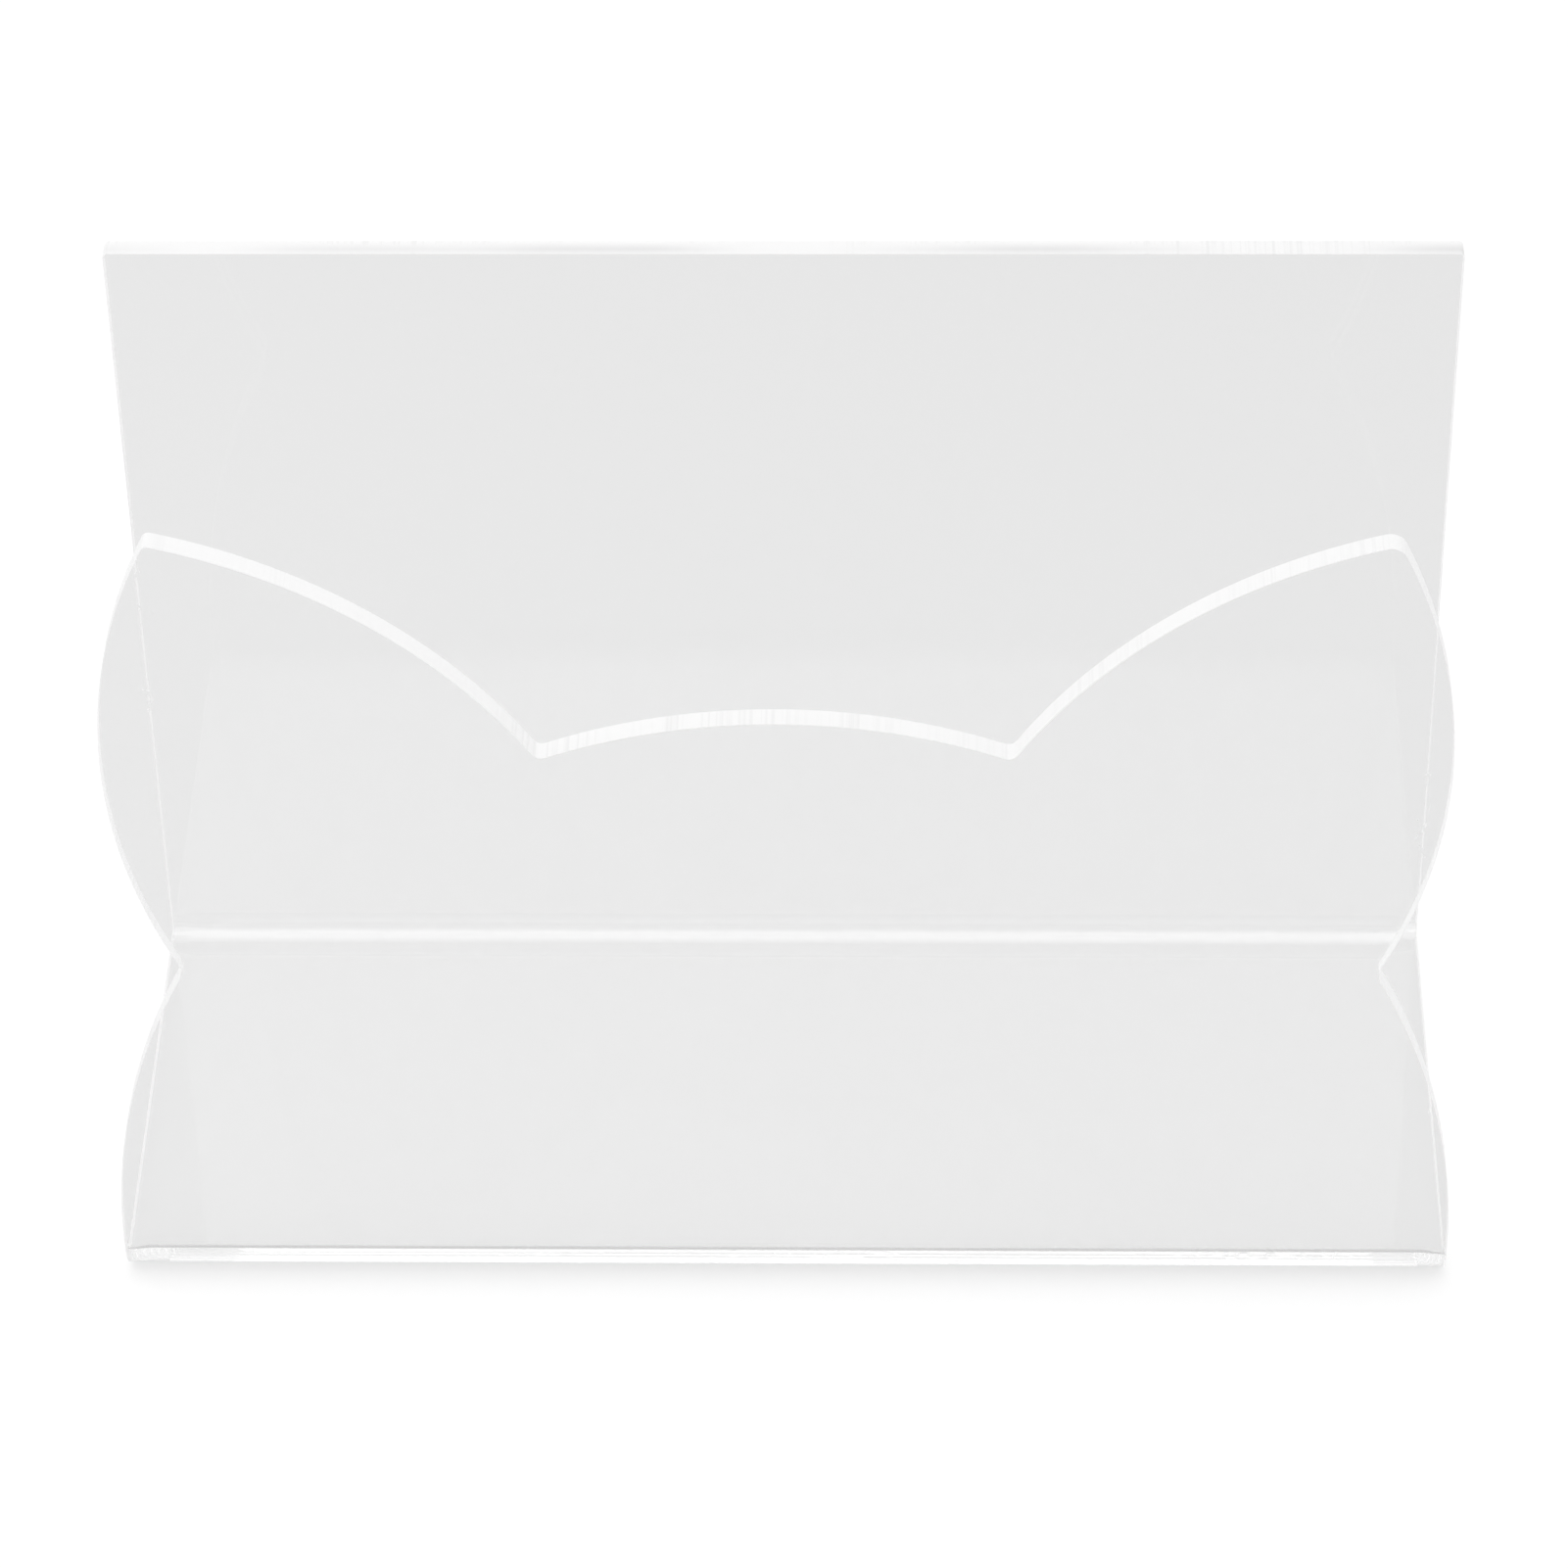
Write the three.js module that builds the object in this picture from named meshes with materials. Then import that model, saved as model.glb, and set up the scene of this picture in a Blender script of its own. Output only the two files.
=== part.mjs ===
// Mail organizer of clear acrylic: one sheet cut to outline and heat-bent twice into a U.
// A tall plain back, a flat base and a lower front with two ears, a raised middle and a
// notch in each side. Letters stand between the two walls. Millimetres, +Z up, the front
// faces -Y, and the origin is on the table under the middle of the part.
// The sheet is divided at the tangent lines of its bends, so that each stretch is a solid.

import * as THREE from "three";

// Overall sizes, measured outside
const WIDTH = 241;
const DEPTH = 94.5;
const BACK_HEIGHT = 165;

// The sheet and its bends
const SHEET_THICKNESS = 4;
const BEND_INNER_RADIUS = 2;
const BACK_CORNER_RADIUS = 1;

// Corners of the front wall's outline before rounding: heights above the table, and
// distances in from the sheet's side edge
const EAR_HEIGHT = 171.4;
const EAR_INSET = 16.5;
const NOTCH_HEIGHT = 75.5;
const NOTCH_INSET = 16;
const CUSP_HEIGHT = 125.2;
const CUSP_SPACING = 80;

// Radii of the outward curves between those corners
const MIDDLE_CURVE_RADIUS = 105;
const EAR_CURVE_RADIUS = 105;
const UPPER_SIDE_RADIUS = 110;
const LOWER_SIDE_RADIUS = 145;

// Rounding of the corners themselves
const EAR_ROUNDING = 2.5;
const CUSP_ROUNDING = 2;
const NOTCH_ROUNDING = 3;

// Flat steps along one curve of the outline, and round one bend
const CURVE_STEPS = 20;
const CORNER_STEPS = 8;
const BEND_STEPS = 8;

const bendOuterRadius = BEND_INNER_RADIUS + SHEET_THICKNESS;
const baseLength = DEPTH - 2 * bendOuterRadius;
const frontFaceY = -DEPTH / 2;
const backFaceY = DEPTH / 2;

function clearAcrylic() {
  return new THREE.MeshStandardMaterial({
    color: 0xf2f4f5,
    roughness: 0.05,
    metalness: 0,
    transparent: true,
    opacity: 0.35,
  });
}

// Circle of the given radius through two outline corners, bulging to the left hand of
// someone who walks from the first to the second.
function curveBetween(from, to, radius) {
  const chord = to.clone().sub(from);
  const middle = from.clone().add(to).multiplyScalar(0.5);
  const centreDistance = Math.sqrt(radius ** 2 - chord.lengthSq() / 4);
  const rightHand = new THREE.Vector2(chord.y, -chord.x).normalize();
  return { centre: middle.addScaledVector(rightHand, centreDistance), radius };
}

// Small circle that rounds the corner where two curves meet. It lies inside both curves
// at a projecting corner, and outside both at a re-entrant one.
function roundingBetween(first, second, corner, rounding, projecting) {
  const outward = projecting ? -rounding : rounding;
  const reachFirst = first.radius + outward;
  const reachSecond = second.radius + outward;
  const span = second.centre.clone().sub(first.centre);
  const gap = span.length();
  const along = (gap ** 2 + reachFirst ** 2 - reachSecond ** 2) / (2 * gap);
  const across = Math.sqrt(reachFirst ** 2 - along ** 2);
  const foot = first.centre.clone().addScaledVector(span, along / gap);
  const sideways = new THREE.Vector2(-span.y, span.x).normalize();
  const choices = [1, -1].map((sign) => foot.clone().addScaledVector(sideways, sign * across));
  choices.sort((a, b) => a.distanceTo(corner) - b.distanceTo(corner));
  return { centre: choices[0], radius: rounding };
}

// Point where a curve runs into a rounding, on the line through both centres.
function tangentPoint(curve, rounding) {
  const direction = rounding.centre.clone().sub(curve.centre).normalize();
  return curve.centre.clone().addScaledVector(direction, curve.radius);
}

// Points along a circle from one point to another, without the first.
function arcPoints(circle, from, to, steps, clockwise) {
  const { centre, radius } = circle;
  const startAngle = Math.atan2(from.y - centre.y, from.x - centre.x);
  const endAngle = Math.atan2(to.y - centre.y, to.x - centre.x);
  const arc = new THREE.ArcCurve(centre.x, centre.y, radius, startAngle, endAngle, clockwise);
  return arc.getPoints(steps).slice(1);
}

// Left half of the front wall's outline, from the front bend up to the crest of the
// middle curve. The curves are walked clockwise, and so is a projecting corner.
function leftHalfPoints() {
  const foot = new THREE.Vector2(-WIDTH / 2, bendOuterRadius);
  const notch = new THREE.Vector2(-WIDTH / 2 + NOTCH_INSET, NOTCH_HEIGHT);
  const ear = new THREE.Vector2(-WIDTH / 2 + EAR_INSET, EAR_HEIGHT);
  const leftCusp = new THREE.Vector2(-CUSP_SPACING / 2, CUSP_HEIGHT);
  const rightCusp = new THREE.Vector2(CUSP_SPACING / 2, CUSP_HEIGHT);

  const lowerSide = curveBetween(foot, notch, LOWER_SIDE_RADIUS);
  const upperSide = curveBetween(notch, ear, UPPER_SIDE_RADIUS);
  const earCurve = curveBetween(ear, leftCusp, EAR_CURVE_RADIUS);
  const middleCurve = curveBetween(leftCusp, rightCusp, MIDDLE_CURVE_RADIUS);
  const crest = middleCurve.centre.clone().add(new THREE.Vector2(0, middleCurve.radius));

  const notchRound = roundingBetween(lowerSide, upperSide, notch, NOTCH_ROUNDING, false);
  const notchStart = tangentPoint(lowerSide, notchRound);
  const notchEnd = tangentPoint(upperSide, notchRound);
  const earRound = roundingBetween(upperSide, earCurve, ear, EAR_ROUNDING, true);
  const earStart = tangentPoint(upperSide, earRound);
  const earEnd = tangentPoint(earCurve, earRound);
  const cuspRound = roundingBetween(earCurve, middleCurve, leftCusp, CUSP_ROUNDING, false);
  const cuspStart = tangentPoint(earCurve, cuspRound);
  const cuspEnd = tangentPoint(middleCurve, cuspRound);

  return [
    foot,
    ...arcPoints(lowerSide, foot, notchStart, CURVE_STEPS, true),
    ...arcPoints(notchRound, notchStart, notchEnd, CORNER_STEPS, false),
    ...arcPoints(upperSide, notchEnd, earStart, CURVE_STEPS, true),
    ...arcPoints(earRound, earStart, earEnd, CORNER_STEPS, true),
    ...arcPoints(earCurve, earEnd, cuspStart, CURVE_STEPS, true),
    ...arcPoints(cuspRound, cuspStart, cuspEnd, CORNER_STEPS, false),
    ...arcPoints(middleCurve, cuspEnd, crest, CURVE_STEPS, true),
  ];
}

function mirrored(point) {
  return new THREE.Vector2(-point.x, point.y);
}

// A flat wall from the points of its outline in X and Z, as thick as the sheet, with its
// rear face at rearY.
function uprightWall(name, points, rearY) {
  const geometry = new THREE.ExtrudeGeometry(new THREE.Shape(points), {
    depth: SHEET_THICKNESS,
    bevelEnabled: false,
  });
  const wall = new THREE.Mesh(geometry, clearAcrylic());
  wall.name = name;
  wall.rotation.x = Math.PI / 2;
  wall.position.y = rearY;
  return wall;
}

function frontPanel() {
  const leftHalf = leftHalfPoints();
  const rightHalf = leftHalf.slice(0, -1).reverse().map(mirrored);
  return uprightWall("front_panel", [...leftHalf, ...rightHalf], frontFaceY + SHEET_THICKNESS);
}

function backPanel() {
  const foot = new THREE.Vector2(-WIDTH / 2, bendOuterRadius);
  const shoulder = new THREE.Vector2(-WIDTH / 2, BACK_HEIGHT - BACK_CORNER_RADIUS);
  const top = new THREE.Vector2(-WIDTH / 2 + BACK_CORNER_RADIUS, BACK_HEIGHT);
  const corner = { centre: new THREE.Vector2(top.x, shoulder.y), radius: BACK_CORNER_RADIUS };
  const leftHalf = [foot, shoulder, ...arcPoints(corner, shoulder, top, CORNER_STEPS, true)];
  const rightHalf = leftHalf.slice().reverse().map(mirrored);
  return uprightWall("back_panel", [...leftHalf, ...rightHalf], backFaceY);
}

function basePanel() {
  const geometry = new THREE.BoxGeometry(WIDTH, baseLength, SHEET_THICKNESS);
  const base = new THREE.Mesh(geometry, clearAcrylic());
  base.name = "base_panel";
  base.position.z = SHEET_THICKNESS / 2;
  return base;
}

// A quarter-round bend along X. Its section is drawn about the bend's axis, a quarter
// turn on from startAngle, and the rotation lays the section in Y and Z.
function bend(name, axisY, startAngle) {
  const endAngle = startAngle + Math.PI / 2;
  const section = new THREE.Shape();
  section.absarc(0, 0, bendOuterRadius, startAngle, endAngle, false);
  section.absarc(0, 0, BEND_INNER_RADIUS, endAngle, startAngle, true);
  section.closePath();
  const geometry = new THREE.ExtrudeGeometry(section, {
    depth: WIDTH,
    bevelEnabled: false,
    curveSegments: BEND_STEPS,
  });
  geometry.translate(0, 0, -WIDTH / 2);
  const quarterRound = new THREE.Mesh(geometry, clearAcrylic());
  quarterRound.name = name;
  quarterRound.rotation.set(Math.PI / 2, Math.PI / 2, 0);
  quarterRound.position.set(0, axisY, bendOuterRadius);
  return quarterRound;
}

const organizer = new THREE.Group();
organizer.add(backPanel());
organizer.add(bend("rear_bend", backFaceY - bendOuterRadius, -Math.PI / 2));
organizer.add(basePanel());
organizer.add(bend("front_bend", frontFaceY + bendOuterRadius, Math.PI));
organizer.add(frontPanel());

export default organizer;
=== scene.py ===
import math

import bmesh
import bpy
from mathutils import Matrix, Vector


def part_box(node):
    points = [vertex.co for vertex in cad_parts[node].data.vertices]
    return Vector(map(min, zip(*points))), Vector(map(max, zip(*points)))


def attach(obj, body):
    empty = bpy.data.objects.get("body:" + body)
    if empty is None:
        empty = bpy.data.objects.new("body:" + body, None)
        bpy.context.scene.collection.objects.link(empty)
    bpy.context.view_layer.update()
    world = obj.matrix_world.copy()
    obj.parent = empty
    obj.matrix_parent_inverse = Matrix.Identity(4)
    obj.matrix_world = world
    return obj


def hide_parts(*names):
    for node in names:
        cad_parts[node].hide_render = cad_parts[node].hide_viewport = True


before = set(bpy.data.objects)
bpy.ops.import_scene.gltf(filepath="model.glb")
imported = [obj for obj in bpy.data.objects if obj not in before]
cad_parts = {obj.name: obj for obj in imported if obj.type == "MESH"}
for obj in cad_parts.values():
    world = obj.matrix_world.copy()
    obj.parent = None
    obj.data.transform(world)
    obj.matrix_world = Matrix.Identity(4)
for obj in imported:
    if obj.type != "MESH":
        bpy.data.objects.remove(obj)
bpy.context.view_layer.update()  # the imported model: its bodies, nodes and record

from bl_math import smoothstep
from mathutils import Matrix, Vector

scene = bpy.context.scene


# The camera
# It stands in front of the organizer and above it, almost square on, with a long lens,
# so the walls hardly converge and the front wall shows below the back one.
camera_place = Vector((0.02647, -0.84282, 0.80721))
camera_yaw = math.radians(1.795)
camera_pitch = math.radians(40.831)
camera_roll = math.radians(-1.054)
camera_lens_mm = 141.7
camera_sensor_mm = 36.0

sight = Vector((
    -math.sin(camera_yaw) * math.cos(camera_pitch),
    math.cos(camera_yaw) * math.cos(camera_pitch),
    -math.sin(camera_pitch),
))
level_right = Vector((math.cos(camera_yaw), math.sin(camera_yaw), 0.0))
turned = Matrix.Rotation(camera_roll, 3, -sight)
camera_right = turned @ level_right
camera_up = camera_right.cross(sight)

camera_data = bpy.data.cameras.new("camera")
camera_data.lens = camera_lens_mm
camera_data.sensor_width = camera_sensor_mm
camera = bpy.data.objects.new("camera", camera_data)
camera.matrix_world = Matrix((
    (camera_right.x, camera_up.x, -sight.x, camera_place.x),
    (camera_right.y, camera_up.y, -sight.y, camera_place.y),
    (camera_right.z, camera_up.z, -sight.z, camera_place.z),
    (0.0, 0.0, 0.0, 1.0),
))
scene.collection.objects.link(camera)
scene.camera = camera


# The bent sheet
# The whole organizer is a single piece of clear cast acrylic, cut to outline with its
# edges left satin white, then heated along two lines and bent up into a U. The bends
# swell a little at both ends, where hot acrylic is pushed out sideways.
back_low, back_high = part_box("back_panel")
base_low, base_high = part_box("base_panel")
half_width = back_high.x
thickness = back_high.y - back_low.y
bend_radius = back_low.z
front_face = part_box("front_panel")[0].y
back_face = back_high.y

notch_inset = 0.016
notch_height = 0.0755
notch_rounding = 0.0020
ear_inset = 0.0165
left_ear_height = 0.1711
left_ear_rounding = 0.0010
right_ear_height = 0.1714
right_ear_rounding = 0.0024
cusp_half_spacing = 0.0404
cusp_height = 0.1247
cusp_rounding = 0.0013
back_corner_rounding = 0.001
lower_side_radius = 0.145
upper_side_radius = 0.110
ear_curve_radius = 0.105
middle_curve_radius = 0.105

curve_steps = 26
corner_steps = 6
bend_steps = 32
edge_rounding = 0.00012
edge_rounding_steps = 2
end_swell = 0.00040
end_swell_length = 0.005
end_swell_cuts = 14
sharp_edge_angle = math.radians(50)
crease_angle = math.radians(25)
polished_face_lean = 0.95
welding_distance = 1e-6
cutting_tolerance = 1e-7


def on_front(x, z):
    return Vector((x, front_face, z))


def draw_curve(mesh, start, end, radius):
    """Sweeps the vertex start round a circle to the point end, bulging away from the wall."""
    chord = end - start.co
    inward = Vector((0.0, 1.0, 0.0)).cross(chord).normalized()
    centre = (start.co + end) / 2 + inward * math.sqrt(radius ** 2 - chord.length_squared / 4)
    swept = bmesh.ops.spin(
        mesh,
        geom=[start],
        cent=centre,
        axis=(0.0, 1.0, 0.0),
        angle=2 * math.asin(chord.length / 2 / radius),
        steps=curve_steps,
        use_merge=False,
        use_duplicate=False,
    )
    return swept["geom_last"][0]


def round_corner(mesh, corner, cut):
    bmesh.ops.bevel(
        mesh,
        geom=[corner],
        offset=cut,
        offset_type="OFFSET",
        segments=corner_steps,
        profile=0.5,
        affect="VERTICES",
        material=-1,
        clamp_overlap=True,
    )


def bend_up(mesh, edge, axis_y):
    """Turns the sheet a quarter round an axis along X, and returns the edge it ends on."""
    turned_edge = bmesh.ops.spin(
        mesh,
        geom=[edge, *edge.verts],
        cent=(0.0, axis_y, bend_radius),
        axis=(1.0, 0.0, 0.0),
        angle=math.pi / 2,
        steps=bend_steps,
        use_merge=False,
        use_duplicate=False,
    )
    return next(e for e in turned_edge["geom_last"] if isinstance(e, bmesh.types.BMEdge))


def run_flat(mesh, edge, step):
    """Carries the sheet on flat from an edge, and returns the edge it ends on."""
    made = bmesh.ops.extrude_edge_only(mesh, edges=[edge])["geom"]
    corners = [v for v in made if isinstance(v, bmesh.types.BMVert)]
    bmesh.ops.translate(mesh, verts=corners, vec=step)
    return next(
        e for e in made if isinstance(e, bmesh.types.BMEdge) and all(v in corners for v in e.verts)
    )


sheet = bmesh.new()
wall_foot = on_front(-half_width, bend_radius)
first = bmesh.ops.create_vert(sheet, co=wall_foot)["vert"][0]

# Each corner of the front wall, the radius of the curve that leads to it, and its rounding.
outline = [
    (on_front(-half_width + notch_inset, notch_height), lower_side_radius, notch_rounding),
    (on_front(-half_width + ear_inset, left_ear_height), upper_side_radius, left_ear_rounding),
    (on_front(-cusp_half_spacing, cusp_height), ear_curve_radius, cusp_rounding),
    (on_front(cusp_half_spacing, cusp_height), middle_curve_radius, cusp_rounding),
    (on_front(half_width - ear_inset, right_ear_height), ear_curve_radius, right_ear_rounding),
    (on_front(half_width - notch_inset, notch_height), upper_side_radius, notch_rounding),
    (on_front(half_width, bend_radius), lower_side_radius, 0.0),
]
corner_vertices = []
last = first
for corner, radius, rounding in outline:
    last = draw_curve(sheet, last, corner, radius)
    corner_vertices.append((last, rounding))
bmesh.ops.contextual_create(sheet, geom=[first, last])
bmesh.ops.edgeloop_fill(sheet, edges=sheet.edges[:])

foot_edge = next(e for e in sheet.edges if first in e.verts and last in e.verts)
base_front_edge = bend_up(sheet, foot_edge, front_face + bend_radius)
base_rear_edge = run_flat(sheet, base_front_edge, (0.0, base_high.y - base_low.y, 0.0))
back_foot_edge = bend_up(sheet, base_rear_edge, back_face - bend_radius)
back_top_edge = run_flat(sheet, back_foot_edge, (0.0, 0.0, back_high.z - bend_radius))
corner_vertices += [(v, back_corner_rounding) for v in back_top_edge.verts]
for vertex, rounding in corner_vertices:
    if rounding:
        round_corner(sheet, vertex, rounding)

bmesh.ops.remove_doubles(sheet, verts=sheet.verts[:], dist=welding_distance)
bmesh.ops.recalc_face_normals(sheet, faces=sheet.faces[:])
underside = min(sheet.faces, key=lambda f: f.calc_center_median().z)
if underside.normal.z > 0:
    bmesh.ops.reverse_faces(sheet, faces=sheet.faces[:])
bmesh.ops.solidify(sheet, geom=sheet.faces[:], thickness=thickness)
bmesh.ops.recalc_face_normals(sheet, faces=sheet.faces[:])

# The bends are cut across near both ends, so that the inner face can swell smoothly there.
bend_faces = [
    f for f in sheet.faces
    if f.calc_center_median().z < bend_radius and abs(f.calc_center_median().y) > base_high.y
]
for side in (-1, 1):
    for cut in range(end_swell_cuts):
        plane_x = side * (half_width - end_swell_length * (cut + 1) / end_swell_cuts)
        near = [f for f in bend_faces if f.is_valid]
        around = {v for f in near for v in f.verts} | {e for f in near for e in f.edges}
        cut_open = bmesh.ops.bisect_plane(
            sheet,
            geom=[*near, *around],
            dist=cutting_tolerance,
            plane_co=(plane_x, 0.0, 0.0),
            plane_no=(1.0, 0.0, 0.0),
        )
        bend_faces = [g for g in cut_open["geom"] if isinstance(g, bmesh.types.BMFace)]

for vertex in sheet.verts:
    axis_y = math.copysign(base_high.y, vertex.co.y)
    from_axis = Vector((0.0, vertex.co.y - axis_y, vertex.co.z - bend_radius))
    inside_bend = from_axis.z < 0 and from_axis.y * axis_y > 0
    on_inner_face = from_axis.length < bend_radius - thickness / 2
    into_swell = (abs(vertex.co.x) - half_width + end_swell_length) / end_swell_length
    if inside_bend and on_inner_face and into_swell > 0:
        turn = math.atan2(-from_axis.z, abs(from_axis.y))
        toward_end = smoothstep(0.0, 1.0, into_swell)
        vertex.co += from_axis.normalized() * end_swell * toward_end * math.sin(2 * turn) ** 2

rim_edges = [e for e in sheet.edges if e.calc_face_angle(0.0) > sharp_edge_angle]
bmesh.ops.bevel(
    sheet,
    geom=rim_edges,
    offset=edge_rounding,
    offset_type="OFFSET",
    segments=edge_rounding_steps,
    profile=0.5,
    affect="EDGES",
    material=-1,
    clamp_overlap=True,
)

POLISHED, FRONT_BENT, REAR_BENT, CUT = 0, 1, 2, 3
for face in sheet.faces:
    face.smooth = True
    centre = face.calc_center_median()
    on_wall = centre.z > bend_radius
    faces_out_of_sheet = abs(face.normal.y) if on_wall else math.hypot(face.normal.y, face.normal.z)
    face.material_index = POLISHED
    if not on_wall and centre.y < base_low.y:
        face.material_index = FRONT_BENT
    if not on_wall and centre.y > base_high.y:
        face.material_index = REAR_BENT
    if faces_out_of_sheet < polished_face_lean:
        face.material_index = CUT
for edge in sheet.edges:
    edge.smooth = edge.calc_face_angle(0.0) < crease_angle

sheet_mesh = bpy.data.meshes.new("bent_sheet")
sheet.to_mesh(sheet_mesh)
sheet.free()
bent_sheet = bpy.data.objects.new("bent_sheet", sheet_mesh)
scene.collection.objects.link(bent_sheet)
flat_walls_shade_flat = bent_sheet.modifiers.new("flat_walls_shade_flat", "WEIGHTED_NORMAL")
flat_walls_shade_flat.keep_sharp = True


def grey(tone):
    return (tone, tone, tone, 1.0)


def place_on_sheet(material):
    return material.node_tree.nodes.new("ShaderNodeTexCoord").outputs["Object"]


def patchiness(material, place, scale, detail):
    """A noise over the sheet, from 0 to 1 and mostly near 0.5."""
    noise = material.node_tree.nodes.new("ShaderNodeTexNoise")
    noise.inputs["Scale"].default_value = scale
    noise.inputs["Detail"].default_value = detail
    material.node_tree.links.new(place, noise.inputs["Vector"])
    return noise.outputs["Fac"]


def fade(material, value, low, high, at_low=0.0, at_high=1.0):
    """Goes from at_low to at_high as a value goes from low to high, held at both ends."""
    ramp = material.node_tree.nodes.new("ShaderNodeMapRange")
    ramp.inputs["From Min"].default_value = low
    ramp.inputs["From Max"].default_value = high
    ramp.inputs["To Min"].default_value = at_low
    ramp.inputs["To Max"].default_value = at_high
    material.node_tree.links.new(value, ramp.inputs["Value"])
    return ramp.outputs["Result"]


def combined(material, operation, first_value, second_value):
    """Makes one value of two. The second is a number or a node's output."""
    both = material.node_tree.nodes.new("ShaderNodeMath")
    both.operation = operation
    material.node_tree.links.new(first_value, both.inputs[0])
    if isinstance(second_value, float):
        both.inputs[1].default_value = second_value
    else:
        material.node_tree.links.new(second_value, both.inputs[1])
    return both.outputs[0]


def distance_from(material, value, middle):
    """How far a value lies from its middle, to either side."""
    offset = combined(material, "SUBTRACT", value, middle)
    return combined(material, "ABSOLUTE", offset, 0.0)


def relief(material, height, depth):
    """A normal tilted as if the surface rose by a depth where the height is 1."""
    bump = material.node_tree.nodes.new("ShaderNodeBump")
    bump.inputs["Distance"].default_value = depth
    material.node_tree.links.new(height, bump.inputs["Height"])
    return bump.outputs["Normal"]


def let_lamps_through(material, surface, passed):
    """Lets a share of the lamps' and the room's light straight through the clear sheet."""
    nodes = material.node_tree.nodes
    links = material.node_tree.links
    path = nodes.new("ShaderNodeLightPath")
    straight_through = nodes.new("ShaderNodeBsdfTransparent")
    straight_through.inputs["Color"].default_value = passed
    for ray in ("Is Shadow Ray", "Is Diffuse Ray"):
        mix = nodes.new("ShaderNodeMixShader")
        links.new(path.outputs[ray], mix.inputs["Fac"])
        links.new(surface, mix.inputs[1])
        links.new(straight_through.outputs[0], mix.inputs[2])
        surface = mix.outputs[0]
    links.new(surface, nodes["Material Output"].inputs["Surface"])


acrylic_tint = grey(0.998)
acrylic_ior = 1.49
handled_gloss = 0.0
handled_haze = 0.02
bend_haze = 0.004
smudge_scale = 22.0
smudge_detail = 4.0
smudges_begin = 0.45
smudges_full = 0.75
flat_sheet_passes = grey(1.0)
front_bend_passes = grey(0.76)
rear_bend_passes = grey(0.985)
cut_edge_passes = grey(0.95)


def clear_acrylic(name, passed, most_haze):
    """Polished clear sheet with the faint uneven haze that handling leaves on it."""
    material = bpy.data.materials.new(name)
    material.use_nodes = True
    gloss = material.node_tree.nodes["Principled BSDF"]
    gloss.inputs["Base Color"].default_value = acrylic_tint
    gloss.inputs["IOR"].default_value = acrylic_ior
    gloss.inputs["Transmission Weight"].default_value = 1.0
    smudges = patchiness(material, place_on_sheet(material), smudge_scale, smudge_detail)
    haze = fade(material, smudges, smudges_begin, smudges_full, handled_gloss, most_haze)
    material.node_tree.links.new(haze, gloss.inputs["Roughness"])
    let_lamps_through(material, gloss.outputs["BSDF"], passed)
    return material


polished_acrylic = clear_acrylic("polished_acrylic", flat_sheet_passes, handled_haze)
front_bent_acrylic = clear_acrylic("front_bent_acrylic", front_bend_passes, bend_haze)
rear_bent_acrylic = clear_acrylic("rear_bent_acrylic", rear_bend_passes, bend_haze)

# Scuffs on the flat stretches: hairlines along one contour of a slow noise, in patches.
scuff_path_scale = 70.0
scuff_path_detail = 1.0
scuff_contour = 0.5
scuff_contour_reach = 0.010
scuff_patch_scale = 16.0
scuff_patch_detail = 2.0
scuffs_begin = 0.60
scuffs_full = 0.70
scuff_depth = 0.000012

sheet_place = place_on_sheet(polished_acrylic)
scuff_paths = patchiness(polished_acrylic, sheet_place, scuff_path_scale, scuff_path_detail)
off_contour = distance_from(polished_acrylic, scuff_paths, scuff_contour)
hairlines = fade(polished_acrylic, off_contour, 0.0, scuff_contour_reach, at_low=1.0, at_high=0.0)
scuff_patches = patchiness(polished_acrylic, sheet_place, scuff_patch_scale, scuff_patch_detail)
where_scuffed = fade(polished_acrylic, scuff_patches, scuffs_begin, scuffs_full)
scuff_height = combined(polished_acrylic, "MULTIPLY", hairlines, where_scuffed)
scuffs = relief(polished_acrylic, scuff_height, scuff_depth)
sheet_gloss = polished_acrylic.node_tree.nodes["Principled BSDF"]
polished_acrylic.node_tree.links.new(scuffs, sheet_gloss.inputs["Normal"])

# The cut edges: satin white that scatters light back and also through to the inside.
edge_white = grey(0.97)
edge_scattered_white = grey(1.0)
edge_share_scattered_through = 0.40
edge_roughness = 0.35
edge_streak_grey = grey(0.74)
edge_streak_scale = 1900.0
edge_streak_detail = 2.0
edge_streaks_begin = 0.48
edge_streaks_full = 0.66
edge_streak_depth = 0.00001
edge_patch_scale = 45.0
edge_patch_detail = 1.0
edge_patches_begin = 0.42
edge_patches_full = 0.60
streaks_between_patches = 0.05
streaks_in_patches = 0.45
sawn_band_strength = 1.0
sawn_band_from_inner_face = 0.35 * thickness
sawn_band_half_width = 0.5 * thickness
sawn_patch_scale = 14.0
sawn_patch_detail = 1.0
sawn_patches_begin = 0.36
sawn_patches_full = 0.52
past_any_edge = 1.0

cut_acrylic = bpy.data.materials.new("cut_acrylic")
cut_acrylic.use_nodes = True
cut_nodes = cut_acrylic.node_tree.nodes
cut_links = cut_acrylic.node_tree.links
satin = cut_nodes["Principled BSDF"]
satin.inputs["IOR"].default_value = acrylic_ior
satin.inputs["Specular IOR Level"].default_value = 0.0
satin.inputs["Roughness"].default_value = edge_roughness

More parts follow.
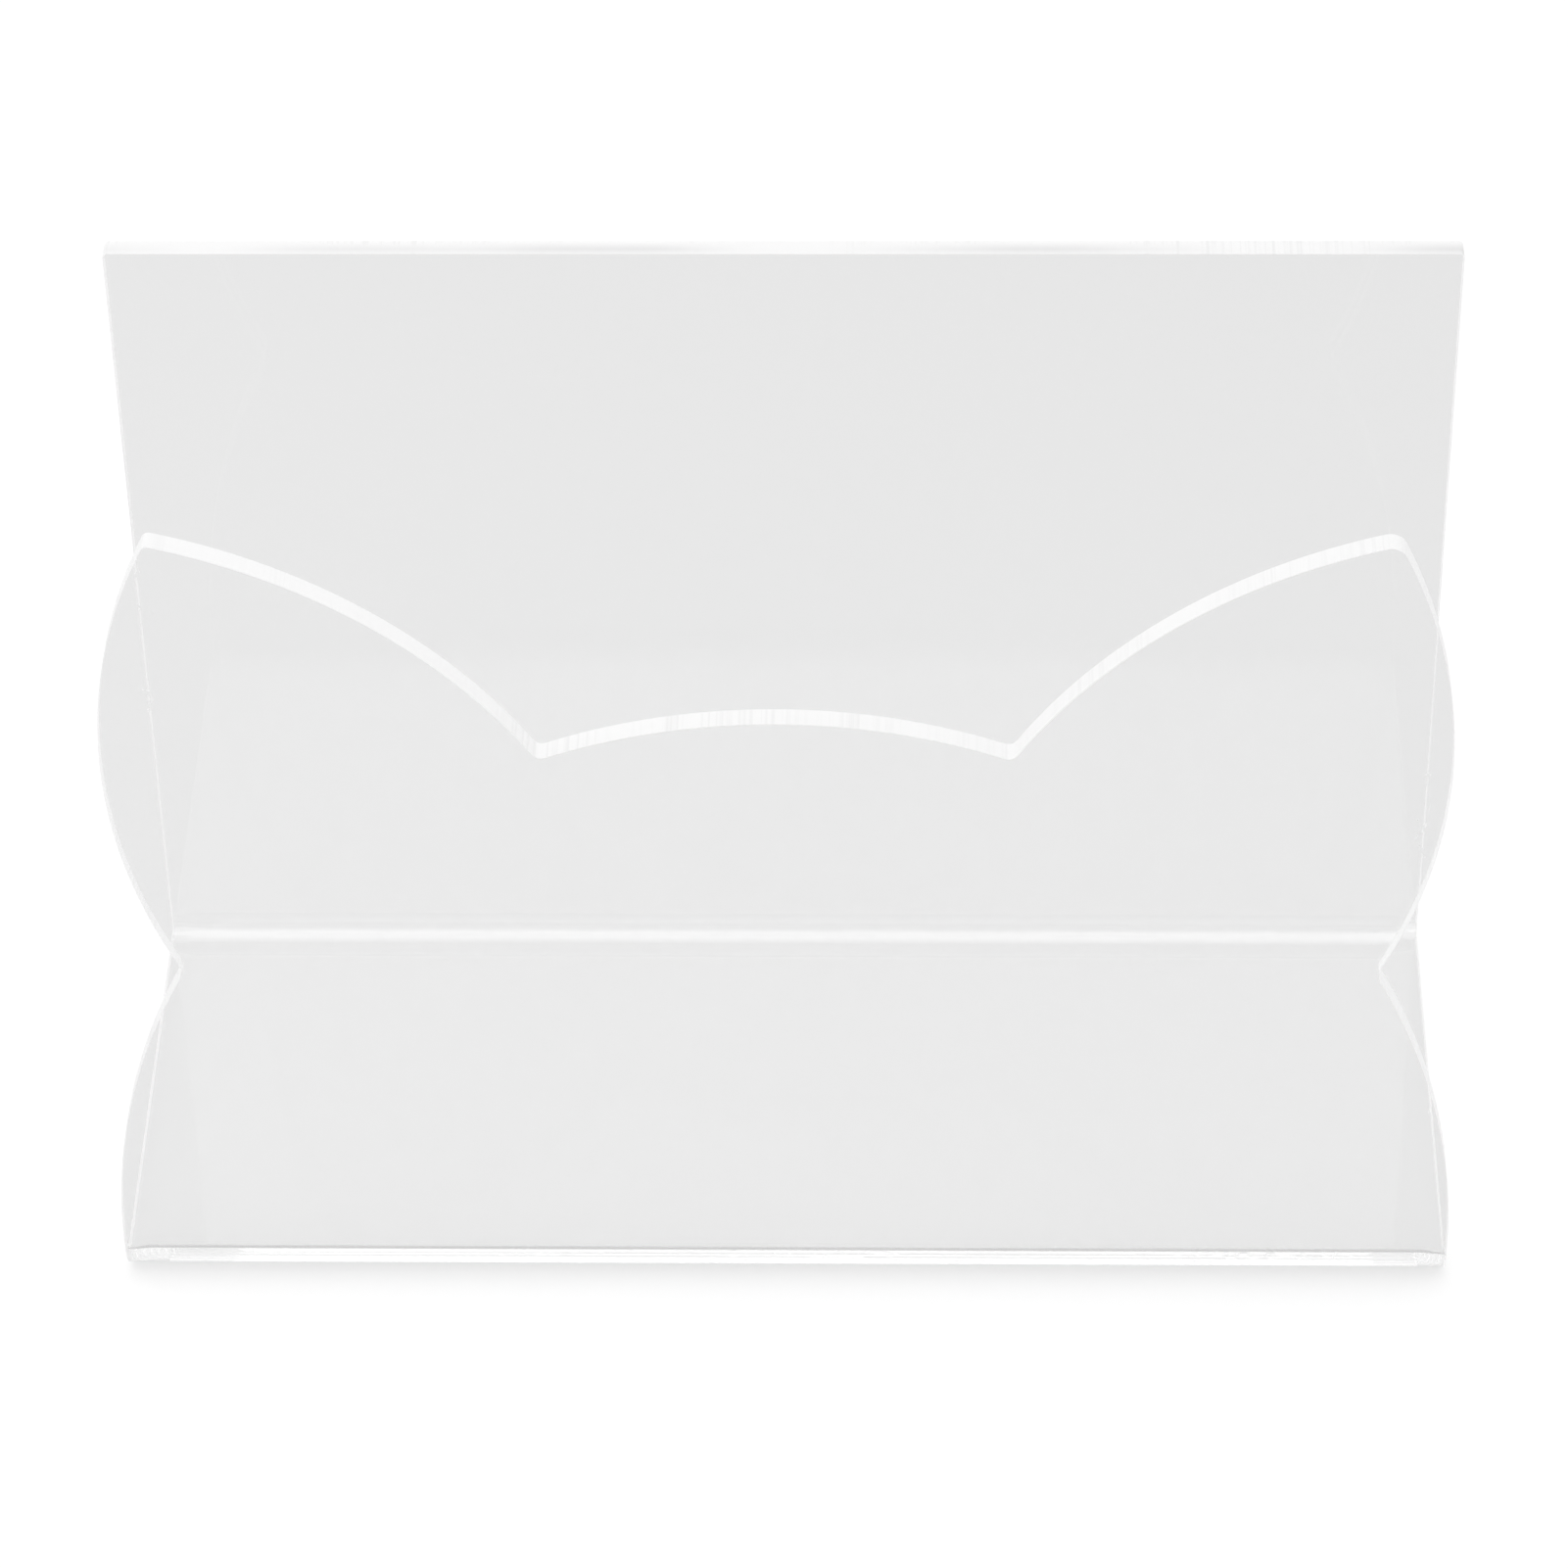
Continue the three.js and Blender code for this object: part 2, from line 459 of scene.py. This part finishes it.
# Held between the bends in depth and above them in height, the place doesn't change
# through the thickness of a wall, a bend or the base, so the streaks run straight across
# every edge.
cut_place = place_on_sheet(cut_acrylic)
above_bends = cut_nodes.new("ShaderNodeVectorMath")
above_bends.operation = "MAXIMUM"
above_bends.inputs[1].default_value = (-past_any_edge, base_low.y, bend_radius)
between_bends = cut_nodes.new("ShaderNodeVectorMath")
between_bends.operation = "MINIMUM"
between_bends.inputs[1].default_value = (past_any_edge, base_high.y, past_any_edge)
cut_links.new(cut_place, above_bends.inputs[0])
cut_links.new(above_bends.outputs[0], between_bends.inputs[0])
along_edge = between_bends.outputs[0]

streaks = patchiness(cut_acrylic, along_edge, edge_streak_scale, edge_streak_detail)
streak_lines = fade(cut_acrylic, streaks, edge_streaks_begin, edge_streaks_full)
patches = patchiness(cut_acrylic, along_edge, edge_patch_scale, edge_patch_detail)
where_streaky = fade(
    cut_acrylic,
    patches,
    edge_patches_begin,
    edge_patches_full,
    at_low=streaks_between_patches,
    at_high=streaks_in_patches,
)
streak_strength = combined(cut_acrylic, "MULTIPLY", streak_lines, where_streaky)

# A duller band that the saw left along the back wall's edges, in patches.
into_back = cut_nodes.new("ShaderNodeSeparateXYZ")
cut_links.new(cut_place, into_back.inputs[0])
sawn_band_place = back_low.y + sawn_band_from_inner_face
off_band = distance_from(cut_acrylic, into_back.outputs["Y"], sawn_band_place)
sawn_band = fade(
    cut_acrylic, off_band, 0.0, sawn_band_half_width, at_low=sawn_band_strength, at_high=0.0
)
sawn_patches = patchiness(cut_acrylic, along_edge, sawn_patch_scale, sawn_patch_detail)
where_sawn = fade(cut_acrylic, sawn_patches, sawn_patches_begin, sawn_patches_full)
sawn_dullness = combined(cut_acrylic, "MULTIPLY", sawn_band, where_sawn)
dullness = combined(cut_acrylic, "MAXIMUM", streak_strength, sawn_dullness)

streaked = cut_nodes.new("ShaderNodeMix")
streaked.data_type = "RGBA"
streaked.inputs["A"].default_value = edge_white
streaked.inputs["B"].default_value = edge_streak_grey
cut_links.new(dullness, streaked.inputs["Factor"])
cut_links.new(streaked.outputs["Result"], satin.inputs["Base Color"])
grooves = relief(cut_acrylic, streak_strength, edge_streak_depth)
cut_links.new(grooves, satin.inputs["Normal"])
scattered = cut_nodes.new("ShaderNodeBsdfTranslucent")
scattered.inputs["Color"].default_value = edge_scattered_white
cut_links.new(grooves, scattered.inputs["Normal"])
frosted = cut_nodes.new("ShaderNodeMixShader")
frosted.inputs["Fac"].default_value = edge_share_scattered_through
cut_links.new(satin.outputs["BSDF"], frosted.inputs[1])
cut_links.new(scattered.outputs["BSDF"], frosted.inputs[2])
let_lamps_through(cut_acrylic, frosted.outputs[0], cut_edge_passes)

for material in (polished_acrylic, front_bent_acrylic, rear_bent_acrylic, cut_acrylic):
    bent_sheet.data.materials.append(material)
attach(bent_sheet, "root")
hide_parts("back_panel", "rear_bend", "base_panel", "front_bend", "front_panel")


# The floor
# A plain pale surface under the organizer, far wider than the view. It is white to the
# camera and pale grey through the sheet, and keeps the shadows of the bends in both.
floor_half_size = 4.0
floor_drop = 0.0003
floor_colour = grey(0.748)
floor_colour_to_camera = grey(0.92)
floor_lift_to_white = 0.05
white_light = grey(1.0)

floor_mesh = bmesh.new()
bmesh.ops.create_grid(floor_mesh, x_segments=1, y_segments=1, size=floor_half_size)
bmesh.ops.translate(floor_mesh, verts=floor_mesh.verts[:], vec=(0.0, 0.0, -floor_drop))
floor_data = bpy.data.meshes.new("floor")
floor_mesh.to_mesh(floor_data)
floor_mesh.free()
floor = bpy.data.objects.new("floor", floor_data)
scene.collection.objects.link(floor)

floor_paint = bpy.data.materials.new("floor_paint")
floor_paint.use_nodes = True
paint_nodes = floor_paint.node_tree.nodes
paint_links = floor_paint.node_tree.links
paint_nodes.remove(paint_nodes["Principled BSDF"])
seen_by_camera = paint_nodes.new("ShaderNodeLightPath").outputs["Is Camera Ray"]
shown_colour = paint_nodes.new("ShaderNodeMix")
shown_colour.data_type = "RGBA"
shown_colour.inputs["A"].default_value = floor_colour
shown_colour.inputs["B"].default_value = floor_colour_to_camera
paint_links.new(seen_by_camera, shown_colour.inputs["Factor"])
lit_floor = paint_nodes.new("ShaderNodeBsdfDiffuse")
paint_links.new(shown_colour.outputs["Result"], lit_floor.inputs["Color"])
lift = paint_nodes.new("ShaderNodeEmission")
lift.inputs["Color"].default_value = white_light
camera_lift = combined(floor_paint, "MULTIPLY", seen_by_camera, floor_lift_to_white)
paint_links.new(camera_lift, lift.inputs["Strength"])
lifted_floor = paint_nodes.new("ShaderNodeAddShader")
paint_links.new(lit_floor.outputs[0], lifted_floor.inputs[0])
paint_links.new(lift.outputs[0], lifted_floor.inputs[1])
paint_links.new(lifted_floor.outputs[0], paint_nodes["Material Output"].inputs["Surface"])
floor.data.materials.append(floor_paint)


# The studio
# Even soft light from all round, a little stronger from low down, with a soft lamp high on
# the left. The camera sees plain white behind the organizer.
low_room_light = 1.05
high_room_light = 0.89
high_light_begins_degrees = 65.0
high_light_full_degrees = 55.0
seen_white = 1.0
lamp_place = Vector((-0.32, -0.05, 1.20))
lamp_size = 1.0
lamp_power = 3.0

# The clear sheet mirrors and bends a pale room instead: a large bright window in front and
# above, and a bright wall behind. The light scattered through the cut edges meets it too.
room_tone = 0.90
window_tone = 2.9
window_lean = math.radians(40.5)
window_begins_degrees = 41.5
window_full_degrees = 37.5
bright_wall_tone = 1.40
bright_wall_begins_degrees = 37.0
bright_wall_full_degrees = 33.0
upward = Vector((0.0, 0.0, 1.0))
backward = Vector((0.0, 1.0, 0.0))

# A ray may turn many times inside the sheet before it gets out.
turns_inside_sheet = 48

world = bpy.data.worlds.new("studio")
scene.world = world
world.use_nodes = True
world_nodes = world.node_tree.nodes
world_links = world.node_tree.links
world_path = world_nodes.new("ShaderNodeLightPath")
direction = world_nodes.new("ShaderNodeTexCoord")


def share_toward(axis, begins_degrees, full_degrees):
    """Fades from none at one angle off an axis to one at a smaller angle and within it."""
    nearness = world_nodes.new("ShaderNodeVectorMath")
    nearness.operation = "DOT_PRODUCT"
    nearness.inputs[1].default_value = axis
    world_links.new(direction.outputs["Generated"], nearness.inputs[0])
    blend = world_nodes.new("ShaderNodeMapRange")
    blend.interpolation_type = "SMOOTHSTEP"
    blend.inputs["From Min"].default_value = math.cos(math.radians(begins_degrees))
    blend.inputs["From Max"].default_value = math.cos(math.radians(full_degrees))
    world_links.new(nearness.outputs["Value"], blend.inputs["Value"])
    return blend.outputs["Result"]


def tone_over(under, over, share):
    """Lays one tone of the room over another. Either is a number or a node's output."""
    mix = world_nodes.new("ShaderNodeMix")
    mix.data_type = "FLOAT"
    world_links.new(share, mix.inputs["Factor"])
    for tone, socket in ((under, mix.inputs["A"]), (over, mix.inputs["B"])):
        if isinstance(tone, float):
            socket.default_value = tone
        else:
            world_links.new(tone, socket)
    return mix.outputs["Result"]


window_axis = Matrix.Rotation(window_lean, 3, "X") @ upward
window_share = share_toward(window_axis, window_begins_degrees, window_full_degrees)
wall_share = share_toward(backward, bright_wall_begins_degrees, bright_wall_full_degrees)
high_share = share_toward(upward, high_light_begins_degrees, high_light_full_degrees)
mirrored_room = tone_over(room_tone, window_tone, window_share)
mirrored_room = tone_over(mirrored_room, bright_wall_tone, wall_share)
lit_room = tone_over(low_room_light, high_room_light, high_share)
room = tone_over(lit_room, mirrored_room, world_path.outputs["Is Glossy Ray"])
room = tone_over(room, mirrored_room, world_path.outputs["Is Transmission Ray"])
room = tone_over(room, seen_white, world_path.outputs["Is Camera Ray"])
background = world_nodes["Background"]
background.inputs["Color"].default_value = white_light
world_links.new(room, background.inputs["Strength"])

lamp_data = bpy.data.lights.new("overhead_lamp", "AREA")
lamp_data.shape = "SQUARE"
lamp_data.size = lamp_size
lamp_data.energy = lamp_power
lamp = bpy.data.objects.new("overhead_lamp", lamp_data)
lamp.location = lamp_place
lamp.rotation_euler = (-lamp_place).to_track_quat("-Z", "Y").to_euler()
lamp.visible_glossy = False
lamp.visible_transmission = False
scene.collection.objects.link(lamp)

scene.cycles.max_bounces = turns_inside_sheet
scene.cycles.glossy_bounces = turns_inside_sheet
scene.cycles.transmission_bounces = turns_inside_sheet
scene.view_settings.view_transform = "Standard"
